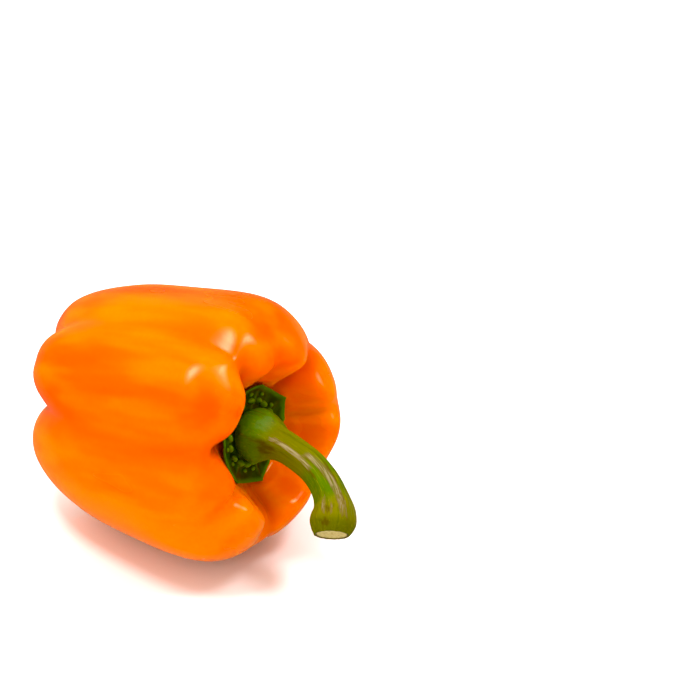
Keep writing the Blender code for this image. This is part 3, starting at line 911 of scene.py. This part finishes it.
def make_stem():
    """The stalk: ribbed, grooved along its length, swollen at its foot and its cut end."""
    line, run = stem_centreline()
    axes = stem_axes(line)
    angle = np.linspace(0, TURN, STEM_SIDES, endpoint=False)
    distances, radii = zip(*STEM_RADII)
    radius = hermite(distances, radii, run)[:, None]
    reach, straight, scar = stem_relief(run[:, None], angle[None, :], radius)
    stain = stain_field(run[:, None], angle[None, :])

    def ring_at(level, reaches, sink):
        """A ring across the stem at one of the centreline's points, sunk back into the stem."""
        forward, side, across = axes[level]
        out = np.cos(angle)[:, None] * side + np.sin(angle)[:, None] * across
        return line[level] - forward * sink + out * np.asarray(reaches)[:, None]

    rings = [ring_at(level, reach[level], 0.0) for level in range(len(line))]
    rings += [ring_at(-1, reach[-1] * inward, sink) for inward, sink in CUT_RINGS]

    def with_cut(values, cut_values):
        """A field's values along the stem, then on the rings of its cut end."""
        cut_rows = np.broadcast_to(np.reshape(cut_values, (-1, 1)), (len(CUT_RINGS), STEM_SIDES))
        return np.concatenate([np.broadcast_to(values, reach.shape), cut_rows])

    start = line[0]
    end = line[-1] - axes[-1][0] * CUT_RINGS[-1][1]
    cut_straight = np.stack([straight[-1] * (inward, inward, 1) for inward, _ in CUT_RINGS])
    item = skin("stem_stalk", np.array(rings), start, end, {
        "straight": (np.concatenate([straight, cut_straight]), (0, 0, 0), (0, 0, STEM_RADII[-1][0])),
        "run": (with_cut(run[:, None], run[-1]), 0, run[-1]),
        "scar": (with_cut(scar, -1), -1, -1),
        "stain": (with_cut(stain, 0), 0, 0),
        "cut": (with_cut(0, [1 - inward for inward, _ in CUT_RINGS]), 0, 1),
    })
    item.data.materials.append(stem_finish())
    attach(item, "root")
    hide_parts("stem")


def make_floor():
    """A plain white floor with some gloss, so the shadow takes the pepper's colour."""
    half = FLOOR_SIZE / 2
    corners = [(-half, -half), (half, -half), (half, half), (-half, half)]
    data = bpy.data.meshes.new("floor")
    data.from_pydata([(x, y, -FLOOR_BELOW) for x, y in corners], [], [(0, 1, 2, 3)])
    item = bpy.data.objects.new("floor", data)
    bpy.context.scene.collection.objects.link(item)
    finish = Finish("white_floor")
    white = (FLOOR_WHITE, FLOOR_WHITE, FLOOR_WHITE, 1)
    finish.surface(white, FLOOR_ROUGHNESS, Specular_IOR_Level=FLOOR_SPECULAR, IOR=FLOOR_IOR)
    data.materials.append(finish.material)
    item.visible_glossy = False


def make_lights():
    """Square soft boxes that look at the pepper."""
    for number, box in enumerate(SOFT_BOXES, 1):
        light = bpy.data.lights.new(f"soft_box_{number}", "AREA")
        light.shape = "SQUARE"
        light.size = box["size"]
        light.energy = box["power"]
        item = bpy.data.objects.new(light.name, light)
        towards = Vector(box["towards"]).normalized()
        item.location = towards * box["distance"]
        item.visible_camera = False
        item.visible_glossy = box["mirrored"]
        item.rotation_euler = towards.to_track_quat("Z", "Y").to_euler()
        bpy.context.scene.collection.objects.link(item)


def make_room():
    """A warm room round the pepper, dimmer where it is mirrored and white behind it."""
    world = bpy.data.worlds.new("white_room")
    world.use_nodes = True
    background = world.node_tree.nodes["Background"]
    path = world.node_tree.nodes.new("ShaderNodeLightPath")
    colour = background.inputs["Color"]
    for ray, seen in (("Is Camera Ray", BACKDROP), ("Is Glossy Ray", MIRRORED_ROOM)):
        mix = world.node_tree.nodes.new("ShaderNodeMix")
        mix.data_type = "RGBA"
        mix.inputs["B"].default_value = seen
        world.node_tree.links.new(path.outputs[ray], mix.inputs["Factor"])
        world.node_tree.links.new(mix.outputs["Result"], colour)
        colour = mix.inputs["A"]
    colour.default_value = ROOM
    world.cycles.sampling_method = "NONE"
    bpy.context.scene.world = world


def make_print():
    """How light turns into the picture's colours: plainly, with the faintest blue taken to none."""
    view = bpy.context.scene.view_settings
    view.view_transform = "Standard"
    view.use_curve_mapping = True
    view.curve_mapping.black_level = (0, 0, BLUE_TOE)
    view.curve_mapping.update()


def make_camera():
    """The photograph's view."""
    data = bpy.data.cameras.new("camera")
    data.sensor_width = SENSOR
    data.lens = SENSOR * FOCAL_PIXELS / PHOTO_SIZE
    data.clip_start = CLIP_START
    item = bpy.data.objects.new("camera", data)
    item.location = (Vector(PLACE) + Vector(CAMERA_OFFSET)) * MM
    item.rotation_euler = (math.pi / 2 - CAMERA_DIP, 0, 0)
    bpy.context.scene.collection.objects.link(item)
    bpy.context.scene.camera = item


make_fruit()
make_calyx()
make_stem()
make_floor()
make_lights()
make_room()
make_camera()
make_print()
